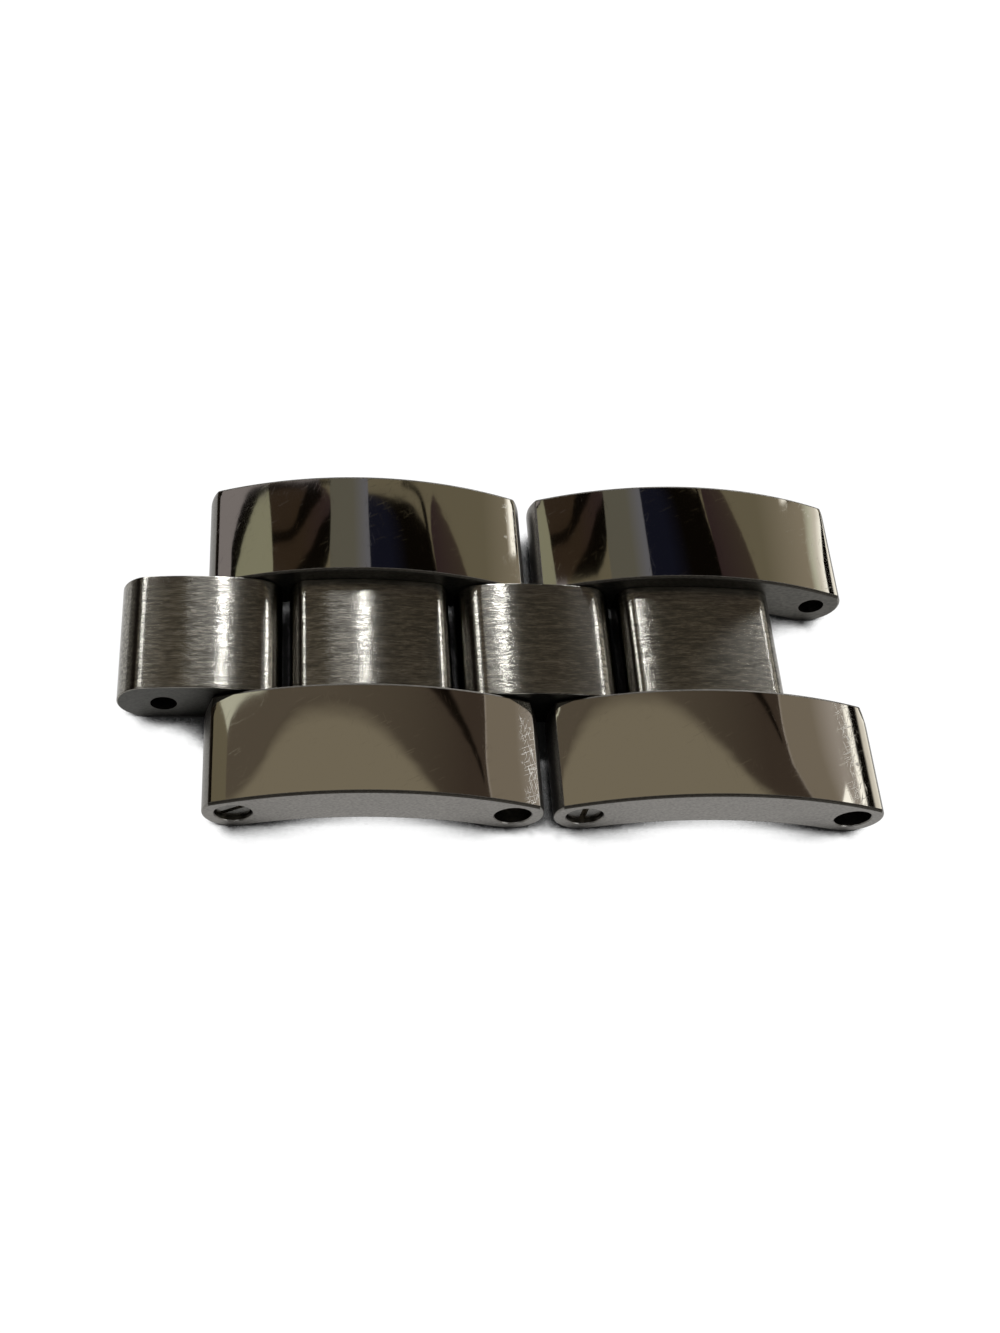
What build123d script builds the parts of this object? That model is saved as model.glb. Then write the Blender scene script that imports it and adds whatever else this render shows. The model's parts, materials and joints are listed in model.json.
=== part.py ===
from build123d import *
import math
import os

# A short stretch of a heavy watch bracelet: two links and two centre connectors.
# Lengths are in millimetres. X runs along the bracelet, Y from its front face to its
# rear face, and Z up from the surface that the links lie on. The stretch is straight
# and flat, and its origin is the middle of its underside.

# Layout of the bracelet
bracelet_width = 22.0
pivot_spacing = 16.4          # between the two pivots of one link
connector_spacing = 4.3       # between the two bores of one connector
centre_gap = 0.45             # between one centre piece and the next
centre_width = 7.92           # fixed centre piece, flush between the outer pieces
side_play = 0.06              # each side of a connector

# Outer pieces: round ends struck from the pivots, a domed top and an arched underside
outer_end_radius = 1.85
outer_top_height = 5.02       # top of the dome at mid-length
outer_arch_height = 1.41      # underside at mid-length
corner_angle = 38.0           # of each top corner, above the level of the pivots
outer_edge_round = 0.18

# Centre pieces: flat underside and a slight crown
centre_below_pivot = 1.75
connector_end_radius = 1.83   # full-round ends
fixed_corner_radius = 1.15    # four corners of a fixed centre piece
centre_crown_radius = 27.0
centre_edge_round = 0.08

# Pivot holes
bore_radius = 0.80
counterbore_radius = 1.10
mouth_chamfer = 0.06
head_recess = 0.28            # head below the face, at the left of a link and all along the rear
deep_head_recess = 1.15       # the same, at the right of a link's front face

# Pivot tubes and screws
running_clearance = 0.03      # radial, tube in bore
head_clearance = 0.03         # radial, head in counterbore
head_length = 0.75
head_chamfer = 0.08
slot_width = 0.36
slot_depth = 0.32
thread_radius = 0.45
thread_clearance = 0.02       # radial, screw in tube
screw_length = 4.6            # below the head
tube_end_gap = 0.20           # from the tube's open end to the seat of the screw's head
thread_runout = 0.50          # tube's thread beyond the screw's tip
slot_angles = (38.0, 74.0, 90.0)   # one for each pivot, from the bracelet's length

# Cross pins that hold a fixed centre piece between its outer pieces
cross_pin_radius = 0.50
cross_pin_offset = 2.15       # from the middle of the link
cross_pin_rise = 0.75         # above the pivots
cross_pin_depth = 2.50        # into each outer piece
cross_pin_chamfer = 0.10
pin_hole_spare = 0.15         # blind hole beyond the pin's end
press_interference = 0.004    # radial, pin in hole

cut_overrun = 1.0

# Sizes that follow from these
link_pitch = pivot_spacing + connector_spacing
centre_length = link_pitch / 2 - centre_gap
connector_width = centre_width - 2 * side_play
outer_width = (bracelet_width - centre_width) / 2
outer_middle = (centre_width + outer_width) / 2
face_distance = bracelet_width / 2
pivot_height = outer_end_radius
centre_bottom = pivot_height - centre_below_pivot
connector_end_x = centre_length / 2 - connector_end_radius
crown_drop = math.sqrt((centre_crown_radius - connector_end_radius) ** 2 - connector_end_x ** 2)
crown_centre_z = centre_bottom + connector_end_radius - crown_drop
cross_pin_height = pivot_height + cross_pin_rise
shallow_seat = face_distance - head_recess - head_length
deep_seat = face_distance - deep_head_recess - head_length
left_reach = link_pitch + centre_length / 2
right_reach = (link_pitch + pivot_spacing) / 2 + outer_end_radius
connector_2_x = (left_reach - right_reach) / 2
connector_1_x = connector_2_x - link_pitch
link_a_x = connector_2_x - link_pitch / 2
link_b_x = connector_2_x + link_pitch / 2


def on_circle(centre, radius, degrees):
    """The point of a circle at an angle from +X."""
    turn = math.radians(degrees)
    return (centre[0] + radius * math.cos(turn), centre[1] + radius * math.sin(turn))


def arc(centre, radius, start, end):
    """An arc of a circle between two angles."""
    steps = (start, (start + end) / 2, end)
    return ThreePointArc(*(on_circle(centre, radius, step) for step in steps))


def rod(radius, y_start, y_end, x, z):
    """A round bar along Y."""
    bar = Cylinder(radius, y_end - y_start, rotation=(90, 0, 0))
    return Pos(x, (y_start + y_end) / 2, z) * bar


def extrude_across(outline, width):
    """The solid between two like faces, half of its width each side of Y = 0."""
    return extrude(Plane.XZ * make_face(outline), amount=width / 2, both=True)


def rim_edges(solid):
    """The edges around the front face and the rear face."""
    faces = solid.faces().filter_by(Axis.Y).sort_by(Axis.Y)
    return faces[0].outer_wire().edges() + faces[-1].outer_wire().edges()


# Outer pieces

def outer_outline():
    """Domed top, two round ends and an underside arch that is tangent to them."""
    reach = pivot_spacing / 2
    right = (reach, pivot_height)
    left = (-reach, pivot_height)
    corner = on_circle(right, outer_end_radius, corner_angle)
    rise = pivot_height - outer_arch_height
    arch_radius = (reach ** 2 + rise ** 2 - outer_end_radius ** 2) / (2 * (outer_end_radius - rise))
    arch_centre = (0, outer_arch_height - arch_radius)
    lean = math.degrees(math.atan2(reach, pivot_height - arch_centre[1]))
    dome = ThreePointArc((-corner[0], corner[1]), (0, outer_top_height), corner)
    right_end = arc(right, outer_end_radius, corner_angle, -90 - lean)
    arch = arc(arch_centre, arch_radius, 90 - lean, 90 + lean)
    left_end = arc(left, outer_end_radius, 270 + lean, 180 - corner_angle)
    return [dome, right_end, arch, left_end]


def outer_blank():
    """An outer piece before its holes are bored, centred on its link's middle."""
    blank = extrude_across(outer_outline(), outer_width)
    corners = blank.edges().filter_by(Axis.Y).filter_by(lambda edge: edge.center().Z > pivot_height)
    return fillet(rim_edges(blank) + corners, outer_edge_round)


def counterbore(side, seat, x):
    """The cut for a head: from its seat out through the face, with a chamfered mouth."""
    depth = face_distance - seat
    pocket = rod(counterbore_radius, seat, face_distance + cut_overrun, 0, 0)
    cone = Cone(counterbore_radius, counterbore_radius + depth, depth, rotation=(-90, 0, 0))
    mouth = Pos(0, face_distance - mouth_chamfer + depth / 2, 0) * cone
    cut = pocket + mouth
    turn = 180 if side < 0 else 0
    return Pos(x, 0, pivot_height) * Rot(0, 0, turn) * cut


def outer_piece(side, link_x):
    """One outer piece: side is -1 for the front and +1 for the rear."""
    piece = Pos(link_x, side * outer_middle, 0) * outer_blank()
    seats = (shallow_seat, deep_seat) if side < 0 else (shallow_seat, shallow_seat)
    for end, seat in zip((-1, 1), seats):
        x = link_x + end * pivot_spacing / 2
        piece -= rod(bore_radius, -face_distance, face_distance, x, pivot_height)
        piece -= counterbore(side, seat, x)
    inner_face = side * centre_width / 2
    bottom = inner_face + side * (cross_pin_depth + pin_hole_spare)
    start, end = sorted((inner_face - side * cut_overrun, bottom))
    for x in (link_x - cross_pin_offset, link_x + cross_pin_offset):
        piece -= rod(cross_pin_radius - press_interference, start, end, x, cross_pin_height)
    return piece


# Centre pieces

def top_corner(radius):
    """The centre of a top corner that is tangent to an end and to the crown, and the crown's lean there."""
    x = centre_length / 2 - radius
    rise = math.sqrt((centre_crown_radius - radius) ** 2 - x ** 2)
    return x, crown_centre_z + rise, math.degrees(math.atan2(x, rise))


def connector_outline():
    """Flat underside, full-round ends and a crown."""
    x, z, lean = top_corner(connector_end_radius)
    underside = Line((-x, centre_bottom), (x, centre_bottom))
    right_end = arc((x, z), connector_end_radius, -90, 90 - lean)
    crown = arc((0, crown_centre_z), centre_crown_radius, 90 - lean, 90 + lean)
    left_end = arc((-x, z), connector_end_radius, 90 + lean, 270)
    return [underside, right_end, crown, left_end]


def fixed_outline():
    """Flat underside and ends, a crown and four round corners."""
    x, z, lean = top_corner(fixed_corner_radius)
    low = centre_bottom + fixed_corner_radius
    end = centre_length / 2
    underside = Line((-x, centre_bottom), (x, centre_bottom))
    lower_right = arc((x, low), fixed_corner_radius, -90, 0)
    right_end = Line((end, low), (end, z))
    upper_right = arc((x, z), fixed_corner_radius, 0, 90 - lean)
    crown = arc((0, crown_centre_z), centre_crown_radius, 90 - lean, 90 + lean)
    upper_left = arc((-x, z), fixed_corner_radius, 90 + lean, 180)
    left_end = Line((-end, z), (-end, low))
    lower_left = arc((-x, low), fixed_corner_radius, 180, 270)
    return [underside, lower_right, right_end, upper_right, crown, upper_left, left_end, lower_left]


def centre_blank(outline, width):
    """A centre piece before it is bored, with eased rims."""
    blank = extrude_across(outline, width)
    return fillet(rim_edges(blank), centre_edge_round)


def connector(middle_x):
    """A connector, with one bore for each of the two pivots that it joins."""
    piece = Pos(middle_x, 0, 0) * centre_blank(connector_outline(), connector_width)
    for x in (middle_x - connector_spacing / 2, middle_x + connector_spacing / 2):
        piece -= rod(bore_radius, -centre_width, centre_width, x, pivot_height)
    return piece


def fixed_centre(link_x):
    """A link's own centre piece, held between its outer pieces by two cross pins."""
    piece = Pos(link_x, 0, 0) * centre_blank(fixed_outline(), centre_width)
    hole_radius = cross_pin_radius - press_interference
    for x in (link_x - cross_pin_offset, link_x + cross_pin_offset):
        piece -= rod(hole_radius, -centre_width, centre_width, x, cross_pin_height)
    return piece


# Pins, tubes and screws

def cross_pin(x):
    """A plain pin through the fixed centre piece and into both outer pieces."""
    reach = centre_width / 2 + cross_pin_depth
    pin = rod(cross_pin_radius, -reach, reach, x, cross_pin_height)
    return chamfer(pin.edges().filter_by(GeomType.CIRCLE), cross_pin_chamfer)


def slotted_head(side, seat, x, slot_angle):
    """A screw head on its seat, its slot turned from the bracelet's length."""
    low, high = sorted((side * seat, side * (seat + head_length)))
    radius = counterbore_radius - head_clearance
    head = rod(radius, low, high, 0, 0)
    outer_rim = head.edges().filter_by(GeomType.CIRCLE).sort_by(Axis.Y)[-1 if side > 0 else 0]
    head = chamfer(outer_rim, head_chamfer)
    slot = Box(2 * counterbore_radius, 2 * slot_depth, slot_width)
    head -= Pos(0, side * (seat + head_length), 0) * Rot(0, -slot_angle, 0) * slot
    return Pos(x, 0, pivot_height) * head


def pivot_screw(x, front_seat, slot_angle):
    """The screw that enters from the front and threads into the tube."""
    shank = rod(thread_radius, -front_seat, screw_length - front_seat, x, pivot_height)
    return slotted_head(-1, front_seat, x, slot_angle) + shank


def pivot_tube(x, front_seat, slot_angle):
    """The tube that the connector turns on, with its head at the rear."""
    start = tube_end_gap - front_seat
    tube = rod(bore_radius - running_clearance, start, shallow_seat, x, pivot_height)
    tube += slotted_head(1, shallow_seat, x, slot_angle)
    thread_end = screw_length + thread_runout - front_seat
    return tube - rod(thread_radius + thread_clearance, start, thread_end, x, pivot_height)


def save(shape, name):
    """Write one piece to its own file."""
    export_step(shape, f"parts/{name}.step")


def main():
    """Build every piece and write it."""
    os.makedirs("parts", exist_ok=True)
    for letter, link_x in (("a", link_a_x), ("b", link_b_x)):
        save(outer_piece(-1, link_x), f"front_outer_link_{letter}")
        save(outer_piece(1, link_x), f"rear_outer_link_{letter}")
        save(fixed_centre(link_x), f"fixed_centre_link_{letter}")
        save(cross_pin(link_x - cross_pin_offset), f"left_cross_pin_{letter}")
        save(cross_pin(link_x + cross_pin_offset), f"right_cross_pin_{letter}")
    save(connector(connector_1_x), "connector_link_1")
    save(connector(connector_2_x), "connector_link_2")
    pivots = (
        (link_a_x - pivot_spacing / 2, shallow_seat),
        (link_a_x + pivot_spacing / 2, deep_seat),
        (link_b_x - pivot_spacing / 2, shallow_seat),
    )
    for number, ((x, front_seat), angle) in enumerate(zip(pivots, slot_angles), start=1):
        save(pivot_screw(x, front_seat, angle), f"pivot_screw_{number}")
        save(pivot_tube(x, front_seat, angle), f"pivot_tube_{number}")


main()
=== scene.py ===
"""A short stretch of a heavy steel watch bracelet, dressed and lit for its picture.

Two links and two centre connectors lie on a white table. Mirror-polished outer pieces,
brushed centre pieces and slotted pivots take the places of the plain solids, one for one.
A grey tent with a few coloured cards stands round them, because polished steel shows only
what is around it. Sizes are in millimetres until they become a mesh.
"""

import json
import logging
import math
from dataclasses import dataclass, field, replace
from enum import Enum
from functools import cache, partial
from typing import Any, Callable, Mapping, Sequence

import bmesh
import bpy
from mathutils import Matrix, Vector


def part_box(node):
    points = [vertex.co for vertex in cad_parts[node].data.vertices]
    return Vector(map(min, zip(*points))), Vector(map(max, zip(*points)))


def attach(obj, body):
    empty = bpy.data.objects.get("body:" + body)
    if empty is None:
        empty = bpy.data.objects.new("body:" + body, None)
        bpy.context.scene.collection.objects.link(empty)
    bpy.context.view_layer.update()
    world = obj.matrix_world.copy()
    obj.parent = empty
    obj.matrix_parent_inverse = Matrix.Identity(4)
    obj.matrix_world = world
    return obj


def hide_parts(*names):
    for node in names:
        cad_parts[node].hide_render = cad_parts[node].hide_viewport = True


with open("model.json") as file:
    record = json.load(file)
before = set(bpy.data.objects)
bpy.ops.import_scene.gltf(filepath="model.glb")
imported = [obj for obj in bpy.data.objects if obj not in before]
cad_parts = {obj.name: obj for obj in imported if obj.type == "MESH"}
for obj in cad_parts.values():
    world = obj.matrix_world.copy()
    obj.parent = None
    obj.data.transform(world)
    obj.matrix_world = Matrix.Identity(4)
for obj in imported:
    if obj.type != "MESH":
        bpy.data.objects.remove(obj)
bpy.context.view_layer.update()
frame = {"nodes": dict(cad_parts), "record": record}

MM = 0.001
MICRON = 0.000001
WEAR = "wear"
# A face whose normal is this close to the bracelet's width is a flat front or rear face.
FLAT = 0.99999

Point = tuple[float, float]
Node = bpy.types.Node
Socket = bpy.types.NodeSocket
Adder = Callable[..., Node]

log = logging.getLogger("bracelet")


# Plain helpers

def linear(hex_colour: str) -> tuple[float, float, float, float]:
    """Turn an sRGB hex colour into the linear colour that a shader takes.

    Args:
        hex_colour: a colour such as "#8f8a82".

    Returns:
        Red, green, blue and an alpha of one.
    """
    channels = (int(hex_colour[start:start + 2], 16) / 255 for start in (1, 3, 5))
    red, green, blue = (c / 12.92 if c <= 0.04045 else ((c + 0.055) / 1.055) ** 2.4 for c in channels)
    return red, green, blue, 1.0


def feed(node: Node, inputs: Mapping[str | int, Any]) -> None:
    """Give a node's inputs their values and links.

    Args:
        node: the node to feed.
        inputs: by name or number, a value, a socket, a node that stands for its first
            output, or a list of these for an input that joins them.
    """
    for key, value in inputs.items():
        for part in value if isinstance(value, list) else [value]:
            if isinstance(part, Node):
                part = part.outputs[0]
            if isinstance(part, Socket):
                node.id_data.links.new(part, node.inputs[key])
            else:
                node.inputs[key].default_value = part


def add_node(tree: bpy.types.NodeTree, kind: str, inputs: Mapping[str | int, Any] | None = None,
             **settings: Any) -> Node:
    """Add a node with its settings and links.

    Args:
        tree: the node tree that gets the node.
        kind: the node's type.
        inputs: what its inputs get, as feed takes it.
        settings: the node's own properties.

    Returns:
        The new node.
    """
    node = tree.nodes.new(kind)
    for name, value in settings.items():
        setattr(node, name, value)
    feed(node, inputs or {})
    return node


def new_material(name: str) -> tuple[bpy.types.Material, Adder]:
    """Make a material without nodes.

    Args:
        name: the material's name.

    Returns:
        The material, and the function that adds nodes to it.
    """
    made = bpy.data.materials.new(name)
    made.use_nodes = True
    made.node_tree.nodes.clear()
    return made, partial(add_node, made.node_tree)


def add_object(name: str, data: bpy.types.ID) -> bpy.types.Object:
    """Make an object in the scene, at the origin.

    Args:
        name: the object's name.
        data: its mesh, light or camera.

    Returns:
        The object.
    """
    made = bpy.data.objects.new(name, data)
    bpy.context.scene.collection.objects.link(made)
    return made


def on_circle(centre: Point, radius: float, degrees: float) -> Point:
    """The point of a circle at an angle from the first axis."""
    turn = math.radians(degrees)
    return centre[0] + radius * math.cos(turn), centre[1] + radius * math.sin(turn)


def arc(centre: Point, radius: float, start: float, end: float, steps: int) -> list[Point]:
    """Points along an arc, without its last one, which starts the next stretch of the outline."""
    return [on_circle(centre, radius, start + (end - start) * step / steps) for step in range(steps)]


def angle_between(centre: Point, point: Point) -> float:
    """The angle, in degrees from the first axis, at which one point sees another."""
    return math.degrees(math.atan2(point[1] - centre[1], point[0] - centre[0]))


def circles_meet(first: Point, first_radius: float, second: Point, second_radius: float) -> Point:
    """One of the two points that two circles share.

    Args:
        first: centre of one circle.
        first_radius: its radius.
        second: centre of the other.
        second_radius: its radius.

    Returns:
        The point at the right of someone who walks from the first centre to the second.
    """
    apart = math.dist(first, second)
    along = (apart ** 2 + first_radius ** 2 - second_radius ** 2) / (2 * apart)
    across = math.sqrt(first_radius ** 2 - along ** 2)
    unit = ((second[0] - first[0]) / apart, (second[1] - first[1]) / apart)
    return first[0] + along * unit[0] + across * unit[1], first[1] + along * unit[1] - across * unit[0]


def both_ends(middle: float, end: Sequence[Point], top: Sequence[Point],
              under: Sequence[Point]) -> list[Point]:
    """A whole outline, with the left end as a mirror image of the right one.

    Args:
        middle: place of the piece's middle along the bracelet.
        end: points of the right end, upwards.
        top: points of the top, to the left, without its last one.
        under: points of the underside between the ends, to the right.

    Returns:
        The outline, counter-clockwise.
    """
    left_end = [(-x, z) for x, z in reversed(end)]
    points = [*end, *top, (-top[0][0], top[0][1]), *left_end, *under]
    return [(middle + x, z) for x, z in points]


def smooth_path(points: Sequence[Point], count: int) -> list[Point]:
    """Points along one smooth curve through a few given ones.

    Args:
        points: two or more points, in order.
        count: how many points to return.

    Returns:
        The points, evenly shared among the stretches between the given ones.
    """
    before = (2 * points[0][0] - points[1][0], 2 * points[0][1] - points[1][1])
    after = (2 * points[-1][0] - points[-2][0], 2 * points[-1][1] - points[-2][1])
    knots = [before, *points, after]
    path = []
    for number in range(count):
        place = number / (count - 1) * (len(points) - 1)
        start = min(int(place), len(points) - 2)
        t = place - start
        a, b, c, d = (Vector(knot) for knot in knots[start:start + 4])
        curve = 2 * b + (c - a) * t + (2 * a - 5 * b + 4 * c - d) * t ** 2 + (3 * b - a - 3 * c + d) * t ** 3
        path.append(tuple(curve / 2))
    return path


@dataclass(frozen=True)
class Block:
    """The space that a node of the frame fills, in millimetres."""

    low: Vector
    high: Vector

    @classmethod
    def of(cls, node: str) -> "Block":
        """Read a node's space from the frame."""
        low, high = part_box(node)
        return cls(low / MM, high / MM)

    @property
    def middle(self) -> Vector:
        """The middle of the space."""
        return (self.low + self.high) / 2

    @property
    def size(self) -> Vector:
        """The length, width and height of the space."""
        return self.high - self.low


class Slot(Enum):
    """The finishes that the frame's record knows."""

    POLISHED = "polished_steel"
    BRUSHED = "brushed_steel"
    PIN = "pin_steel"


# Finishes

@dataclass(frozen=True)
class SteelFinish:
    """Stainless steel, with the marks that its last tool left on it.

    Subclasses add those marks. The base is bare metal of one roughness.
    """

    name: str
    colour: str
    roughness: float
    anisotropy: float = 0.0

    @cache
    def material(self) -> bpy.types.Material:
        """Make the material, with its marks, once.

        Returns:
            A metal whose marks read the piece's place in millimetres.
        """
        made, add = new_material(self.name)
        shader = add("ShaderNodeBsdfPrincipled", {
            "Base Color": linear(self.colour), "Metallic": 1.0,
            "Roughness": self.roughness, "Anisotropic": self.anisotropy,
        })
        add("ShaderNodeOutputMaterial", {"Surface": shader})
        place = add("ShaderNodeTexCoord").outputs["Object"]
        self.mark(add, shader, add("ShaderNodeVectorMath", {0: place, "Scale": 1 / MM}, operation="SCALE"))
        return made

    def mark(self, add: Adder, shader: Node, place: Node) -> None:
        """Add the tool marks.

        Args:
            add: adds a node to the material.
            shader: the metal.
            place: the place on the piece, in millimetres.
        """

    def layer(self, add: Adder, place: Node, size: tuple[float, ...], depth: float,
              under: Node | None = None, detail: float = 2.0) -> tuple[Node, Node]:
        """Add one layer of fine marks.

        Args:
            add: adds a node to the material.
            place: the place on the piece, in millimetres.
            size: of a mark, along and across the bracelet and up.
            depth: of the marks.
            under: the layer below, if any.
            detail: how far the marks break up into finer ones.

        Returns:
            The marks' height, and the layer that they make.
        """
        laid = add("ShaderNodeMapping", {"Vector": place, "Scale": tuple(1 / length for length in size)})
        height = add("ShaderNodeTexNoise", {"Vector": laid, "Scale": 1.0, "Detail": detail})
        below = {} if under is None else {"Normal": under}
        return height, add("ShaderNodeBump", {"Distance": depth * MM, "Height": height, **below})

    def tint(self, add: Adder, shader: Node, tone: Node, tone_range: Point, spread: float) -> None:
        """Let the metal's tone change with its marks.

        Args:
            add: adds a node to the material.
            shader: the metal.
            tone: what the tone follows.
            tone_range: the darkest and the palest value of that.
            spread: how much darker or paler the metal gets, as a share.
        """
        shade = add("ShaderNodeMapRange", {
            "Value": tone, "From Min": tone_range[0], "From Max": tone_range[1],
            "To Min": 1 - spread, "To Max": 1 + spread,
        })
        scaled = add("ShaderNodeVectorMath", {0: linear(self.colour)[:3], "Scale": shade}, operation="SCALE")
        feed(shader, {"Base Color": scaled})


@dataclass(frozen=True)
class MirrorPolish(SteelFinish):
    """316L steel buffed to a mirror, then worn: the faint waves of the buff, hairlines and nicks.

    The waves bend a reflection's edge a little. Hairlines and nicks catch any light about,
    most where the piece is worn. Lengths are in millimetres.

    Attributes:
        wave_length: from one wave to the next.
        hairline_share: noise over which a hairline shows.
        hairline_fade: how far over that it is fully drawn.
        hairline_turns: direction of each layer of hairlines, in radians.
        hairline_shift: place of each layer from the one before it.
        worn_gain: how much wear adds to the noise.
        nick_spacing: from one nick to the next.
        nick_radius_share: radius of a nick, as a share of the spacing.
        nick_roughness: of the steel in a nick or a hairline, where the piece is worn.
    """

    wave_length: float = 1.3
    wave_depth: float = 0.0008
    hairline_length: float = 1.1
    hairline_width: float = 0.05
    hairline_depth: float = 0.0002
    hairline_share: float = 0.79
    hairline_fade: float = 0.06
    hairline_turns: tuple[float, ...] = (0.5, 1.2, 1.8)
    hairline_shift: tuple[float, ...] = (3.7, 5.1, 0.0)
    worn_gain: float = 0.12
    nick_spacing: float = 0.9
    nick_radius_share: float = 0.17
    nick_roughness: float = 0.40

    def mark(self, add: Adder, shader: Node, place: Node) -> None:
        """Add waves, hairlines and nicks to the mirror.

        Args:
            add: adds a node to the material.
            shader: the metal.
            place: the place on the piece, in millimetres.
        """
        _, waves = self.layer(add, place, (self.wave_length,) * 3, self.wave_depth, detail=1.0)
        wear = add("ShaderNodeAttribute", attribute_name=WEAR).outputs["Fac"]
        scratched: Node | float = 0.0
        for number, turn in enumerate(self.hairline_turns):
            laid = add("ShaderNodeMapping", {
                "Vector": place, "Rotation": (0.0, 0.0, turn),
                "Location": tuple(number * shift for shift in self.hairline_shift),
                "Scale": (self.hairline_length, self.hairline_width, self.hairline_length),
            }, vector_type="TEXTURE")
            streaks = add("ShaderNodeTexNoise", {"Vector": laid, "Scale": 1.0, "Detail": 0.0})
            raised = add("ShaderNodeMath", {0: wear, 1: self.worn_gain, 2: streaks},
                         operation="MULTIPLY_ADD")
            lines = add("ShaderNodeMapRange", {
                "Value": raised, "From Min": self.hairline_share,
                "From Max": self.hairline_share + self.hairline_fade,
            })
            scratched = add("ShaderNodeMath", {0: scratched, 1: lines}, operation="MAXIMUM")
        scored = add("ShaderNodeBump", {
            "Distance": self.hairline_depth * MM, "Height": scratched, "Normal": waves,
        }, invert=True)
        cells = add("ShaderNodeTexVoronoi", {"Vector": place, "Scale": 1 / self.nick_spacing})
        nicks = add("ShaderNodeMapRange", {
            "Value": cells, "From Min": self.nick_radius_share, "From Max": self.nick_radius_share / 2,
        })
        marks = add("ShaderNodeMath", {0: nicks, 1: scratched}, operation="MAXIMUM")
        worn = add("ShaderNodeMath", {0: marks, 1: wear}, operation="MULTIPLY")
        rough = add("ShaderNodeMapRange", {
            "Value": worn, "To Min": self.roughness, "To Max": self.nick_roughness,
        })
        feed(shader, {"Normal": scored, "Roughness": rough})


@dataclass(frozen=True)
class LongGrain(SteelFinish):
    """316L steel brushed along the bracelet: fine parallel grain that smears light across it.

    Real grain is finer than a pixel, so it is drawn as coarse as it needs to show.

    Attributes:
        grain: length, width and depth of one mark, in millimetres.
        streak: the same of the broader marks below the grain.
        tone_range: noise at which the steel is darkest and palest.
        tone_spread: how much darker and paler than its colour that is, as a share.
    """

    grain: tuple[float, ...] = (0.45, 0.085, 0.006)
    streak: tuple[float, ...] = (1.4, 0.20, 0.004)
    tone_range: Point = (0.12, 0.4)
    tone_spread: float = 0.42

    def mark(self, add: Adder, shader: Node, place: Node) -> None:
        """Add the streaks, the grain on them, and the direction that light smears in.

        Args:
            add: adds a node to the material.
            shader: the metal.
            place: the place on the piece, in millimetres.
        """
        under, heights = None, []
        for length, width, depth in (self.streak, self.grain):
            height, under = self.layer(add, place, (length, width, width), depth, under)
            heights.append(height)
        tone = add("ShaderNodeMath", {0: heights[0], 1: heights[1]}, operation="MULTIPLY")
        self.tint(add, shader, tone, self.tone_range, self.tone_spread)
        feed(shader, {"Normal": under, "Tangent": add("ShaderNodeCombineXYZ", {"Y": 1.0})})


@dataclass(frozen=True)
class Satin(SteelFinish):
    """316L steel linished along its length with fine grit: an even grey with a faint speckle.

    Attributes:
        speckle: width of a speck, in millimetres.
        speckle_depth: depth of a speck, in millimetres.
        speckle_stretch: length of a speck, as a multiple of its width.
        tone_range: noise at which the steel is darkest and palest.
        tone_spread: how much darker and paler than its colour that is, as a share.
    """

    speckle: float = 0.09
    speckle_depth: float = 0.0009
    speckle_stretch: float = 2.0
    tone_range: Point = (0.3, 0.7)
    tone_spread: float = 0.26

    def mark(self, add: Adder, shader: Node, place: Node) -> None:
        """Add the speckle and a slow change of tone.

        Args:
            add: adds a node to the material.
            shader: the metal.
            place: the place on the piece, in millimetres.
        """
        size = (self.speckle * self.speckle_stretch, self.speckle, self.speckle)
        specks, bumps = self.layer(add, place, size, self.speckle_depth)
        self.tint(add, shader, specks, self.tone_range, self.tone_spread)
        feed(shader, {"Normal": bumps})


POLISH = MirrorPolish("polished_316L_steel", "#aaa7a1", 0.035)
GRAIN = LongGrain("brushed_316L_steel", "#7c7972", 0.18, 1.0)
SATIN = Satin("satin_316L_steel", "#706d68", 0.36)
# The front and rear faces of the centre pieces are darkened: painted shade where they sit between the outer
# pieces. Their blanked finish is real.
BLANK = Satin("blanked_316L_steel", "#3b3a36", 0.42)
# The inner faces of the outer pieces are darkened: painted shade where they face the centre pieces. Their
# milled finish is real.
MILLED = Satin("milled_316L_steel", "#4a4843", 0.40, speckle=0.14)
# The rims of the outer pieces are darkened: a painted dark reflection that hides the bright line the rims
# would catch. Their rougher broken edge is real.
EDGE = Satin("broken_edge_316L_steel", "#3d3a35", 0.55)
# The bores are darker than the faces: painted shade in the holes.
BORE = Satin("reamed_steel", "#686560", 0.30, speckle=0.14)
# The pivots' steel is darkened: a painted dark reflection on the heads. The turning is real.
PIN = Satin("turned_steel", "#55534e", 0.20, speckle=0.12)
# The slot walls are paler than the rest of the head: a painted glint along the slot. Their milled finish is
# real.
SLOT = Satin("milled_slot_steel", "#aaa69e", 0.16, speckle=0.10)


# Shapes made by Geometry Nodes

@dataclass(frozen=True)
class Size:
    """A length in millimetres, and the name of the tree input that holds it."""

    name: str
    value: float


Section = Sequence[tuple[Size, Size]]
AXIS = Size("Axis", 0.0)


@dataclass(frozen=True)
class Turning:
    """A round form about an axis along Y: the wall of a hole, or a whole turned piece.

    Attributes:
        x: place of the axis along the bracelet.
        z: height of the axis.
        section: radius and place along Y of each corner of its half section.
    """

    x: Size
    z: Size
    section: Section


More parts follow.
